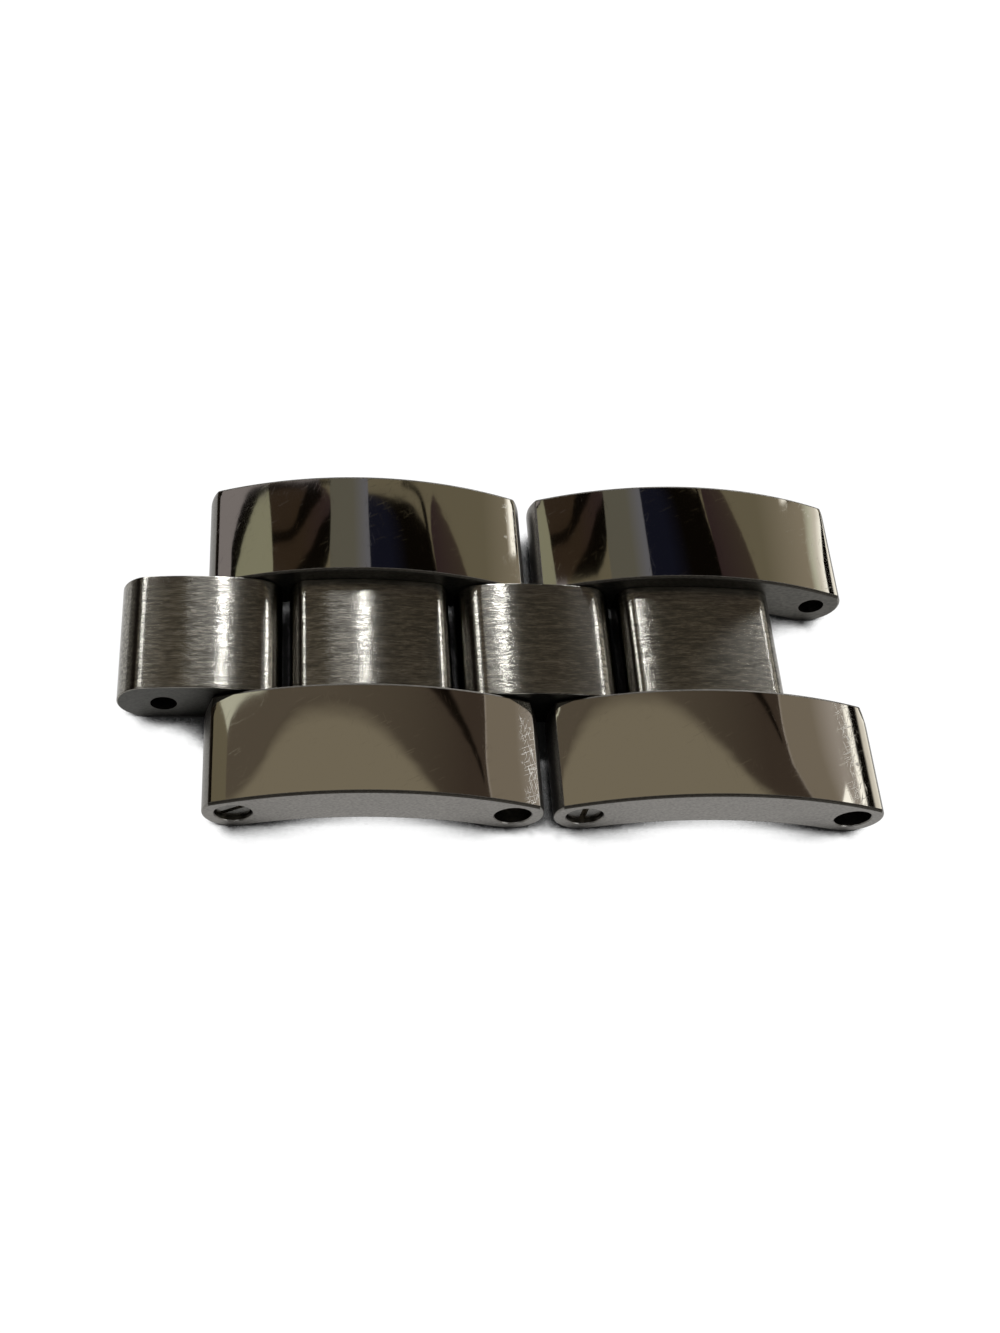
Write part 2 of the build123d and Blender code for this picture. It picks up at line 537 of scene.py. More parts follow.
class ShapeTree:
    """A Geometry Nodes tree with named sizes, whose result becomes a plain mesh.

    Outlines lie in the tree's XY plane, which becomes the upright plane along the
    bracelet. A section is swept round an outline, its X outwards and its Y along Y.
    """

    round_steps: int = 72

    def __init__(self, name: str) -> None:
        """Start a tree with a geometry input and output.

        Args:
            name: the tree's name.
        """
        self.group = bpy.data.node_groups.new(name, "GeometryNodeTree")
        self.add = partial(add_node, self.group)
        for direction in ("INPUT", "OUTPUT"):
            self.group.interface.new_socket("Geometry", in_out=direction, socket_type="NodeSocketGeometry")
        self.source = self.add("NodeGroupInput")
        self.values: dict[str, float] = {}
        self.parts: list[Node | Socket] = []

    def length(self, size: Size) -> Socket:
        """Give a size an input of its own at its first use.

        Args:
            size: the size.

        Returns:
            The input that holds it.
        """
        if size.name not in self.source.outputs:
            item = self.group.interface.new_socket(size.name, in_out="INPUT", socket_type="NodeSocketFloat")
            self.values[item.identifier] = size.value * MM
        return self.source.outputs[size.name]

    def polyline(self, corners: Sequence[tuple[Any, Any]]) -> Node:
        """An open line through corners of the section plane.

        Args:
            corners: outward and sideways place of each corner.

        Returns:
            The line, as a curve.
        """
        line = self.add("GeometryNodeMeshLine", {"Count": len(corners)})
        index = self.add("GeometryNodeInputIndex")
        chosen = self.add("GeometryNodeIndexSwitch", {"Index": index}, data_type="VECTOR")
        while len(chosen.index_switch_items) < len(corners):
            chosen.index_switch_items.new()
        for number, (outward, sideways) in enumerate(corners, start=1):
            feed(chosen, {number: self.add("ShaderNodeCombineXYZ", {"X": outward, "Y": sideways})})
        placed = self.add("GeometryNodeSetPosition", {"Geometry": line, "Position": chosen})
        return self.add("GeometryNodeMeshToCurve", {"Mesh": placed})

    def flat_normals(self, curve: Node) -> Node:
        """The same curve, with its normals in its own plane."""
        return self.add("GeometryNodeSetCurveNormal", {"Curve": curve}, mode="Z_UP")

    def stand_up(self, geometry: Node, y: Socket | float = 0.0) -> Node:
        """Turn geometry from the tree's XY plane into the upright plane along the bracelet."""
        return self.add("GeometryNodeTransform", {
            "Geometry": geometry, "Rotation": (math.pi / 2, 0.0, 0.0),
            "Translation": self.add("ShaderNodeCombineXYZ", {"Y": y}),
        })

    def circle(self, turning: Turning, radius: Size) -> Node:
        """A circle about a turning's axis, in the tree's XY plane.

        Args:
            turning: the round form.
            radius: the circle's radius.

        Returns:
            The circle, as a curve with flat normals.
        """
        ring = self.add("GeometryNodeCurvePrimitiveCircle", {
            "Resolution": self.round_steps, "Radius": self.length(radius),
        })
        place = self.add("ShaderNodeCombineXYZ", {"X": self.length(turning.x), "Y": self.length(turning.z)})
        return self.flat_normals(self.add("GeometryNodeTransform", {"Geometry": ring, "Translation": place}))

    def turn(self, turning: Turning, guide: Size) -> Node:
        """Sweep a turning's section round its axis.

        Args:
            turning: the round form.
            guide: any radius over zero; the sweep runs along a circle of that radius.

        Returns:
            The swept wall.
        """
        corners = []
        for radius, y in turning.section:
            outward = self.add("ShaderNodeMath", {0: self.length(radius), 1: self.length(guide)},
                               operation="SUBTRACT")
            corners.append((outward, self.length(y)))
        return self.stand_up(self.add("GeometryNodeCurveToMesh", {
            "Curve": self.circle(turning, guide), "Profile Curve": self.polyline(corners),
        }))

    def mark(self, geometry: Node | Socket, where: Node | bool = True) -> tuple[Socket, Socket]:
        """Mark faces of a part, so that they can be picked after it is joined or reshaped.

        Args:
            geometry: the part.
            where: which of its faces, or all of them if this is left out.

        Returns:
            The part, and the mark.
        """
        node = self.add("GeometryNodeCaptureAttribute", {"Geometry": geometry}, domain="FACE")
        node.capture_items.new("BOOLEAN", "mark")
        feed(node, {"mark": where})
        return node.outputs["Geometry"], node.outputs["mark"]

    def add_marked(self, part: Node) -> Socket:
        """Add a part to the shape.

        Args:
            part: the part.

        Returns:
            The mark of its faces.
        """
        marked, mark = self.mark(part)
        self.parts.append(marked)
        return mark

    def weld(self) -> Node:
        """Join all parts and merge the points that they share."""
        joined = self.add("GeometryNodeJoinGeometry", {"Geometry": self.parts})
        return self.add("GeometryNodeMergeByDistance", {"Geometry": joined, "Distance": MICRON / 2})

    def close(self, geometry: Node, regions: Sequence[tuple[SteelFinish, Socket | bool]]) -> None:
        """End the tree: realize instances, then set the material of each region.

        Args:
            geometry: the whole shape.
            regions: each finish with the faces that get it, the widest region first.
        """
        shape = self.add("GeometryNodeRealizeInstances", {"Geometry": geometry})
        for finish, region in regions:
            shape = self.add("GeometryNodeSetMaterial", {
                "Geometry": shape, "Selection": region, "Material": finish.material(),
            })
        self.add("NodeGroupOutput", {"Geometry": shape})

    def cast(self, outline: Sequence[Point], crease: float) -> bpy.types.Mesh:
        """Run the tree on an outline and keep the result as a plain mesh.

        Args:
            outline: points of the ring that the tree starts from, if it starts from one.
            crease: edges that turn by more than this many degrees stay sharp.

        Returns:
            A closed mesh whose faces point outwards.
        """
        ring = [(x * MM, y * MM, 0.0) for x, y in outline]
        start = bpy.data.meshes.new(self.group.name)
        start.from_pydata(ring, [(number, (number + 1) % len(ring)) for number in range(len(ring))], [])
        scratch = add_object(self.group.name, start)
        modifier = scratch.modifiers.new("shape", "NODES")
        modifier.node_group = self.group
        for identifier, value in self.values.items():
            modifier[identifier] = value
        evaluated = scratch.evaluated_get(bpy.context.evaluated_depsgraph_get())
        mesh = bpy.data.meshes.new_from_object(evaluated)
        scratch.modifiers.remove(modifier)
        bpy.data.objects.remove(scratch)
        bpy.data.node_groups.remove(self.group)
        seal(mesh, crease)
        return mesh


def seal(mesh: bpy.types.Mesh, crease: float) -> None:
    """Point a closed mesh's faces outwards, shade it smooth and keep its flats and creases crisp.

    Args:
        mesh: the mesh to finish.
        crease: edges that turn by more than this many degrees stay sharp.

    Raises:
        ValueError: the mesh has an open edge.
    """
    work = bmesh.new()
    work.from_mesh(mesh)
    bmesh.ops.dissolve_degenerate(work, dist=MICRON / 4, edges=work.edges[:])
    loose = [edge for edge in work.edges if len(edge.link_faces) != 2]
    if loose:
        raise ValueError(f"{mesh.name} has {len(loose)} open edges, first at {loose[0].verts[0].co}")
    bmesh.ops.recalc_face_normals(work, faces=work.faces[:])
    for face in work.faces:
        face.smooth = True
    for edge in work.edges:
        one, other = (abs(face.normal.y) > FLAT for face in edge.link_faces)
        edge.smooth = one == other and edge.calc_face_angle(0.0) < math.radians(crease)
    work.to_mesh(mesh)
    work.free()


@dataclass
class Bar:
    """A bar across the bracelet: an outline swept along Y, with eased rims and drilled holes.

    Attributes:
        name: the tree's name.
        front: place of its front face.
        rear: place of its rear face.
        edge_round: radius of the rim round each face.
        rim_steps: flats in each rim.
        holes: the holes, each with its section from the front to the rear.
        margin: of wall beside each rim that takes up the rim's shading.
        rows: how far from each face the wall has further rows of points.
    """

    name: str
    front: Size
    rear: Size
    edge_round: Size
    rim_steps: int
    holes: Sequence[Turning]
    margin: float = 0.02
    rows: tuple[float, ...] = ()

    def tree(self) -> tuple[ShapeTree, list[Socket], list[Socket]]:
        """Build the nodes.

        Returns:
            The tree, with its parts added, the marks of the holes, and the marks of the
            front and rear faces.
        """
        shape = ShapeTree(self.name)
        rail = shape.flat_normals(shape.add("GeometryNodeMeshToCurve", {"Mesh": shape.source}))
        front, rear, radius = (shape.length(size) for size in (self.front, self.rear, self.edge_round))
        inward = shape.add("ShaderNodeMath", {0: radius, 1: -1.0}, operation="MULTIPLY")
        depths = (self.edge_round.value + self.margin, *self.rows)
        places = [self.front.value + depth for depth in depths]
        places += [self.rear.value - depth for depth in reversed(depths)]
        rows = [(0.0, shape.length(Size(f"Wall Row {n}", place))) for n, place in enumerate(places, start=1)]
        section = shape.add("GeometryNodeFilletCurve", {
            "Curve": shape.polyline([(inward, front), (0.0, front), *rows, (0.0, rear), (inward, rear)]),
            "Count": self.rim_steps, "Radius": radius, "Limit Radius": True,
        }, mode="POLY")
        wall = shape.add("GeometryNodeCurveToMesh", {"Curve": rail, "Profile Curve": section})
        shape.parts.append(shape.stand_up(wall))
        normal = shape.add("GeometryNodeInputNormal")
        step = shape.add("ShaderNodeVectorMath", {0: normal, "Scale": inward}, operation="SCALE")
        drawn_in = shape.add("GeometryNodeSetPosition", {"Geometry": rail, "Offset": step})
        hole_marks, face_marks = [], []
        for hole in self.holes:
            widest = max((radius for radius, _ in hole.section), key=lambda size: size.value)
            hole_marks.append(shape.add_marked(shape.turn(hole, widest)))
        for face, end in ((self.front, 0), (self.rear, -1)):
            mouths = [
                shape.circle(hole, hole.section[end][0])
                for hole in self.holes if hole.section[end][1] == face
            ]
            edges = shape.add("GeometryNodeJoinGeometry", {"Geometry": [drawn_in, *mouths]})
            plate = shape.add("GeometryNodeFillCurve", {"Curve": edges}, mode="TRIANGLES")
            face_marks.append(shape.add_marked(shape.stand_up(plate, shape.length(face))))
        return shape, hole_marks, face_marks


# Pieces of the bracelet

@dataclass
class Piece:
    """A piece that stands for a node of the frame, in that node's space.

    Attributes:
        node: the node that it replaces and rides with.
        name: the object's name.
        space: what the node fills.
    """

    node: str
    name: str
    space: Block = field(init=False)

    def __post_init__(self) -> None:
        """Read the piece's space from the frame."""
        self.space = Block.of(self.node)

    def faces(self) -> tuple[Size, Size]:
        """Places of its front face and its rear face."""
        return Size("Front Face", self.space.low.y), Size("Rear Face", self.space.high.y)

    def put_in_place(self, shape: ShapeTree, outline: Sequence[Point], crease: float, slot: Slot) -> None:
        """Make the piece of its tree, and let it stand for its node.

        Args:
            shape: the tree that makes it.
            outline: what the tree starts from.
            crease: edges that turn by more than this many degrees stay sharp.
            slot: the record's finish for it; not used.
        """
        mesh = shape.cast(outline, crease)
        mesh.name = self.name
        piece = add_object(self.name, mesh)
        bodies = frame["record"]["behaviour"]["bodies"]
        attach(piece, next(body for body, nodes in bodies.items() if self.node in nodes))
        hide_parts(self.node)
        log.info("%s: %d faces", self.name, len(mesh.polygons))


@dataclass
class OuterPiece(Piece):
    """A polished outer piece of a link: domed top, round ends and an arched underside.

    Attributes:
        left_recess: depth of the left head's seat.
        right_recess: depth of the right head's seat.
        wear_zone: how far from the right end wear starts, is full, starts to fade and is gone.
        wear_front: how worn a front piece is.
        wear_rear: how worn a rear piece is.
        wall_rows: how far from each face the wall can bend.
        ease_length: of each end that is buffed round towards the rear face.
        ease_power: how sharply that comes on.
        end_lap: how far the finish of each end reaches past its edge.
        rim_lap: the same for each rim.
    """

    right_recess: float
    wear_zone: tuple[float, ...]
    left_recess: float = 1.03
    end_radius: float = 1.85
    arch_height: float = 1.41
    corner_angle: float = 38.0
    edge_round: float = 0.14
    rim_steps: int = 6
    corner_ease: float = 0.22
    bore_radius: float = 0.80
    counterbore_radius: float = 1.10
    mouth_chamfer: float = 0.06
    pin_hole_radius: float = 0.496
    pin_hole_offset: float = 2.15
    pin_hole_rise: float = 0.75
    pin_hole_depth: float = 2.65
    dome_steps: int = 120
    end_steps: int = 48
    arch_steps: int = 48
    corner_steps: int = 8
    wear_front: float = 1.0
    wear_rear: float = 0.35
    wall_rows: tuple[float, ...] = (0.3, 0.5, 0.75, 1.05, 1.4)
    ease_length: float = 0.66
    ease_reach_front: float = 1.3
    ease_reach_rear: float = 0.6
    ease_depth_front: float = 0.34
    ease_depth_rear: float = 0.14
    ease_power: float = 2.2
    end_lap: float = 0.02
    rim_lap: float = 0.015
    crease: float = 24.0

    @property
    def side(self) -> int:
        """-1 for a front piece and +1 for a rear one."""
        return -1 if self.space.middle.y < 0 else 1

    def outline(self) -> list[Point]:
        """The side view, counter-clockwise from the underside of the right end.

        Returns:
            Points along and up from the bracelet's origin.
        """
        top, radius = self.space.high.z, self.end_radius
        reach, height = self.space.size.x / 2 - radius, self.space.low.z + radius
        end = (reach, height)
        corner = on_circle(end, radius, self.corner_angle)
        rise = top - corner[1]
        dome_radius = (corner[0] ** 2 + rise ** 2) / (2 * rise)
        dome = (0.0, top - dome_radius)
        ease = circles_meet(dome, dome_radius - self.corner_ease, end, radius - self.corner_ease)
        dome_edge, end_edge = angle_between(dome, ease), angle_between(end, ease)
        drop = height - self.arch_height
        arch_radius = (reach ** 2 + drop ** 2 - radius ** 2) / (2 * (radius - drop))
        arch = (0.0, self.arch_height - arch_radius)
        lean = math.degrees(math.atan2(reach, height - arch[1]))
        right_end = [
            *arc(end, radius, -90 - lean, end_edge, self.end_steps),
            *arc(ease, self.corner_ease, end_edge, dome_edge, self.corner_steps),
        ]
        top_points = arc(dome, dome_radius, dome_edge, 180 - dome_edge, self.dome_steps)
        under_points = arc(arch, arch_radius, 90 + lean, 90 - lean, self.arch_steps)[1:]
        return both_ends(self.space.middle.x, right_end, top_points, under_points)

    def holes(self, outer: Size, inner: Size) -> list[Turning]:
        """The two pivot holes with their counterbores, and the two blind pin holes.

        Args:
            outer: place of the outer face.
            inner: place of the inner face.

        Returns:
            The holes, each section from the front to the rear.
        """
        side, middle = self.side, self.space.middle.x
        reach = self.space.size.x / 2 - self.end_radius
        height = Size("Pivot Height", self.space.low.z + self.end_radius)
        bore = Size("Bore Radius", self.bore_radius)
        counterbore = Size("Counterbore Radius", self.counterbore_radius)
        mouth = Size("Mouth Radius", self.counterbore_radius + self.mouth_chamfer)
        lip = Size("Mouth Depth", outer.value - side * self.mouth_chamfer)
        holes = []
        for name, x, recess in (("Left", -reach, self.left_recess), ("Right", reach, self.right_recess)):
            seat = Size(f"{name} Seat", outer.value - side * recess)
            section = ((mouth, outer), (counterbore, lip), (counterbore, seat), (bore, seat), (bore, inner))
            holes.append(Turning(Size(f"{name} Pivot", middle + x), height, section[::-side]))
        pin_height = Size("Pin Height", height.value + self.pin_hole_rise)
        pin_hole = Size("Pin Hole Radius", self.pin_hole_radius)
        floor = Size("Pin Hole Floor", inner.value + side * self.pin_hole_depth)
        blind = ((AXIS, floor), (pin_hole, floor), (pin_hole, inner))
        for name, x in (("Left", -self.pin_hole_offset), ("Right", self.pin_hole_offset)):
            holes.append(Turning(Size(f"{name} Pin", middle + x), pin_height, blind[::-side]))
        return holes

    def ease_rear_corners(self, shape: ShapeTree, body: Socket, y: Socket, along: Node, distance: Node,
                          rear: Size) -> Node:
        """Draw the ends in towards the rear face, where buffing has rounded the corners.

        Args:
            shape: the tree that the piece is made in.
            body: the whole piece.
            y: place of each point across the bracelet.
            along: how far right of the piece's middle a point is.
            distance: the same, without its sign.
            rear: place of the rear face.

        Returns:
            The eased piece.
        """
        end = self.space.size.x / 2
        reach, ease = (self.ease_reach_front, self.ease_depth_front) if self.side < 0 else (
            self.ease_reach_rear, self.ease_depth_rear)
        share = shape.add("ShaderNodeMapRange", {
            "Value": distance, "From Min": shape.length(Size("Ease Start", end - self.ease_length)),
            "From Max": shape.length(Size("End", end)), "To Max": shape.length(Size("Ease", -ease)),
        }, interpolation_type="SMOOTHSTEP")
        depth = shape.add("ShaderNodeMapRange", {
            "Value": y, "From Min": shape.length(Size("Ease Front", rear.value - reach)),
            "From Max": shape.length(rear),
        })
        curve = shape.add("ShaderNodeMath", {0: depth, 1: self.ease_power}, operation="POWER")
        amount = shape.add("ShaderNodeMath", {0: share, 1: curve}, operation="MULTIPLY")
        side = shape.add("ShaderNodeMath", {0: along}, operation="SIGN")
        step = shape.add("ShaderNodeMath", {0: amount, 1: side}, operation="MULTIPLY")
        offset = shape.add("ShaderNodeCombineXYZ", {"X": step})
        return shape.add("GeometryNodeSetPosition", {"Geometry": body, "Offset": offset})

    def wear(self, shape: ShapeTree, body: Node, along: Node) -> Node:
        """Store how worn each point is, for the polish to show.

        Args:
            shape: the tree that the piece is made in.
            body: the whole piece.
            along: how far right of the piece's middle a point is.

        Returns:
            The piece, with its wear.
        """
        most = self.wear_front if self.side < 0 else self.wear_rear
        steps = []
        for name, sign, zone in (("Wear", 1, self.wear_zone[:2]), ("Fade", -1, self.wear_zone[2:])):
            start, full = (self.space.size.x / 2 - from_end for from_end in zone)
            steps.append(shape.add("ShaderNodeMapRange", {
                "Value": along, "From Min": shape.length(Size(f"{name} Start", start)),
                "From Max": shape.length(Size(f"{name} End", full)), "To Max": sign * most,
            }, interpolation_type="SMOOTHSTEP"))
        worn = shape.add("ShaderNodeMath", {0: steps[0], 1: steps[1]}, operation="ADD")
        return shape.add("GeometryNodeStoreNamedAttribute", {
            "Geometry": body, "Name": WEAR, "Value": worn,
        }, data_type="FLOAT", domain="POINT")

    def build(self) -> None:
        """Make the piece and put it in its node's place."""
        front, rear = self.faces()
        outer, inner = (front, rear) if self.side < 0 else (rear, front)
        bar = Bar(self.name, front, rear, Size("Edge Round", self.edge_round), self.rim_steps,
                  self.holes(outer, inner), rows=self.wall_rows)
        shape, hole_marks, face_marks = bar.tree()
        at = shape.add("ShaderNodeSeparateXYZ", {"Vector": shape.add("GeometryNodeInputPosition")})
        end_depth = self.end_radius * (1 - math.cos(math.radians(self.corner_angle)))
        body, middle, half = shape.weld(), self.space.middle, self.space.size / 2
        offsets, distances, regions = [], [], []
        for name, place, centre, start in (
            ("X", at.outputs["X"], middle.x, half.x - end_depth - self.end_lap),
            ("Y", at.outputs["Y"], middle.y, half.y - self.edge_round - self.rim_lap),
        ):
            zero = shape.length(Size(f"Middle {name}", centre))
            offsets.append(shape.add("ShaderNodeMath", {0: place, 1: zero}, operation="SUBTRACT"))
            distances.append(shape.add("ShaderNodeMath", {0: offsets[-1]}, operation="ABSOLUTE"))
            edge = shape.length(Size(f"Region Start {name}", start))
            beyond = shape.add("ShaderNodeMath", {0: distances[-1], 1: edge}, operation="GREATER_THAN")
            body, region = shape.mark(body, beyond)
            regions.append(region)
        body = self.ease_rear_corners(shape, body, at.outputs["Y"], offsets[0], distances[0], rear)
        outer_mark, inner_mark = face_marks if self.side < 0 else reversed(face_marks)
        # Below, the rims get a painted dark reflection, and the inner faces and the bores get painted shade.
        shape.close(self.wear(shape, body, offsets[0]), [
            (POLISH, True), (EDGE, regions[1]), (SATIN, regions[0]), (SATIN, outer_mark),
            (MILLED, inner_mark), *((BORE, mark) for mark in hole_marks),
        ])
        self.put_in_place(shape, self.outline(), self.crease, Slot.POLISHED)


@dataclass
class CentrePiece(Piece):
    """A brushed centre piece with a flat underside and a slight crown.

    A connector has full-round ends and two pivot bores. A link's own centre piece has four
    round corners and two pin holes.
    """

    corner_radius: float
    full_round: bool
    hole_radius: float
    hole_height: float
    hole_offset: float = 2.15
    crown_radius: float = 27.0
    edge_round: float = 0.08
    rim_steps: int = 4
    crown_steps: int = 64
    corner_steps: int = 28
    crease: float = 24.0

    def outline(self) -> list[Point]:
        """The side view, counter-clockwise from the underside of the right end.

        Returns:
            Points along and up from the bracelet's origin.
        """
        low, radius, steps = self.space.low.z, self.corner_radius, self.corner_steps
        crown = (0.0, self.space.high.z - self.crown_radius)
        x = self.space.size.x / 2 - radius
        upper = (x, crown[1] + math.sqrt((self.crown_radius - radius) ** 2 - x ** 2))
        lean = angle_between(crown, upper)
        if self.full_round:
            end = arc(upper, radius, -90, lean, 2 * steps)
        else:
            lower = arc((x, low + radius), radius, -90, 0, steps)
            end = [*lower, (x + radius, low + radius), *arc(upper, radius, 0, lean, steps)]
        top_points = arc(crown, self.crown_radius, lean, 180 - lean, self.crown_steps)
        return both_ends(self.space.middle.x, end, top_points, ())

    def build(self) -> None:
        """Make the piece and put it in its node's place."""
        front, rear = self.faces()
        radius, height = Size("Hole Radius", self.hole_radius), Size("Hole Height", self.hole_height)
        holes = [
            Turning(Size(name, self.space.middle.x + x), height, ((radius, front), (radius, rear)))
            for name, x in (("Left Hole", -self.hole_offset), ("Right Hole", self.hole_offset))
        ]
        bar = Bar(self.name, front, rear, Size("Edge Round", self.edge_round), self.rim_steps, holes)
        shape, hole_marks, face_marks = bar.tree()
        # Their front and rear faces carry painted shade, and so do the bores.
        shape.close(shape.weld(), [
            (GRAIN, True), *((BLANK, mark) for mark in face_marks), *((BORE, mark) for mark in hole_marks),
        ])
        self.put_in_place(shape, self.outline(), self.crease, Slot.BRUSHED)


@dataclass
class PivotPiece(Piece):
    """Half of a pivot: a turned shank, and a head with an eased rim and a slot.

    Attributes:
        side: -1 where the head faces the front and +1 where it faces the rear.
        slot_angle: of the slot, from the bracelet's length.
        slot_reach: length of the slot's cutter, as a share of the head's radius.
    """

    slot_angle: float
    side: int = -1
    head_radius: float = 1.07
    head_length: float = 0.75
    head_rim: float = 0.08
    slot_width: float = 0.36
    slot_depth: float = 0.32
    slot_reach: float = 2.4
    thread_radius: float = 0.45
    crease: float = 30.0

    def shank(self) -> Section:
        """The half section of the shank, from its axis up to the head."""
        return ()

    def cut_slot(self, shape: ShapeTree, solid: Node, face: float) -> tuple[Node, Socket]:
        """Cut the slot across the head.

        Args:
            shape: the tree that the piece is made in.
            solid: the whole turned piece.
            face: place of the head's face along Y.

        Returns:
            The slotted piece, and the mark of the slot's walls.
        """
        cutter = shape.add("GeometryNodeMeshCube", {"Size": (
            self.slot_reach * self.head_radius * MM, 2 * self.slot_depth * MM, self.slot_width * MM,
        )})
        middle = self.space.middle
        placed = shape.add("GeometryNodeTransform", {
            "Geometry": cutter, "Translation": (middle.x * MM, face * MM, middle.z * MM),
            "Rotation": (0.0, -math.radians(self.slot_angle), 0.0),
        })
        marked, walls = shape.mark(placed)
        cut = shape.add("GeometryNodeMeshBoolean", {"Mesh 1": solid, "Mesh 2": marked},
                        operation="DIFFERENCE", solver="EXACT")
        return cut, walls

    def build(self) -> None:
        """Make the piece and put it in its node's place."""
        middle, shank = self.space.middle, self.shank()
        face = self.space.low.y if self.side < 0 else self.space.high.y
        top, seat = Size("Face", face), Size("Seat", face - self.side * self.head_length)
        radius, ease = Size("Head Radius", self.head_radius), Size("Ease", face - self.side * self.head_rim)
        flat = Size("Face Radius", self.head_radius - self.head_rim)
        section = (*shank, (shank[-1][0], seat), (radius, seat), (radius, ease), (flat, top), (AXIS, top))
        shape = ShapeTree(self.name)
        turning = Turning(Size("Axis X", middle.x), Size("Axis Z", middle.z), section)
        shape.parts.append(shape.turn(turning, radius))
        slotted, walls = self.cut_slot(shape, shape.weld(), face)
        # The head carries a painted dark reflection, and the paler slot walls a painted glint.
        shape.close(slotted, [(PIN, True), (SLOT, walls)])
        self.put_in_place(shape, (), self.crease, Slot.PIN)


@dataclass
class Screw(PivotPiece):
    """A pivot's screw, which enters from the front."""

    tip_ease: float = 0.10

    def shank(self) -> Section:
        """A plain shank with an eased tip."""
        tip = Size("Tip", self.space.high.y)
        return (
            (AXIS, tip),
            (Size("Tip Radius", self.thread_radius - self.tip_ease), tip),
            (Size("Shank Radius", self.thread_radius), Size("Tip Ease", tip.value - self.tip_ease)),
        )


@dataclass
class Tube(PivotPiece):
    """A pivot's tube, with its head at the rear and the screw's hole at the front."""

    side: int = 1
    tube_radius: float = 0.77
    thread_clearance: float = 0.02
    hole_depth: float = 4.90

    def shank(self) -> Section:
        """The blind hole, then the tube's wall."""
        start = Size("Start", self.space.low.y)
        floor = Size("Hole Floor", start.value + self.hole_depth)
        hole = Size("Hole Radius", self.thread_radius + self.thread_clearance)
        return (AXIS, floor), (hole, floor), (hole, start), (Size("Tube Radius", self.tube_radius), start)


@dataclass
class Bracelet:
    """The whole stretch, piece by piece.

    Attributes:
        slot_angles: of each pivot's slots, from the bracelet's length.
        wear_zones: how far from each link's right end wear starts, is full, starts to fade
            and is gone.
        right_recesses: depth of the right head's seat in front and rear pieces.
    """

    slot_angles: tuple[float, ...] = (38.0, 74.0, 90.0)
    wear_zones: Mapping[str, tuple[float, ...]] = field(default_factory=lambda: {
        "a": (1.8, 1.05, 0.45, 0.2), "b": (3.2, 2.0, 1.6, 1.05),
    })
    right_recesses: Mapping[str, float] = field(default_factory=lambda: {"front": 1.90, "rear": 1.03})

    def build(self) -> None:
        """Make every piece that shows, and dress the pins that stay from the frame."""
        for link, zone in self.wear_zones.items():
            for face, recess in self.right_recesses.items():
                OuterPiece(f"{face}_outer_link_{link}", f"{face}_outer_{link}", recess, zone).build()
            CentrePiece(f"fixed_centre_link_{link}", f"fixed_centre_{link}",
                        corner_radius=1.15, full_round=False, hole_radius=0.496, hole_height=2.60).build()
            for side in ("left", "right"):
                pin = frame["nodes"][f"{side}_cross_pin_{link}"]
                pin.data.materials.clear()
                pin.data.materials.append(PIN.material())
        for number in (1, 2):
            CentrePiece(f"connector_link_{number}", f"connector_{number}",
                        corner_radius=1.83, full_round=True, hole_radius=0.80, hole_height=1.85).build()
        for number, angle in enumerate(self.slot_angles, start=1):
            Screw(f"pivot_screw_{number}", f"screw_{number}", angle).build()
            Tube(f"pivot_tube_{number}", f"tube_{number}", angle).build()


# The table, the tent and the camera

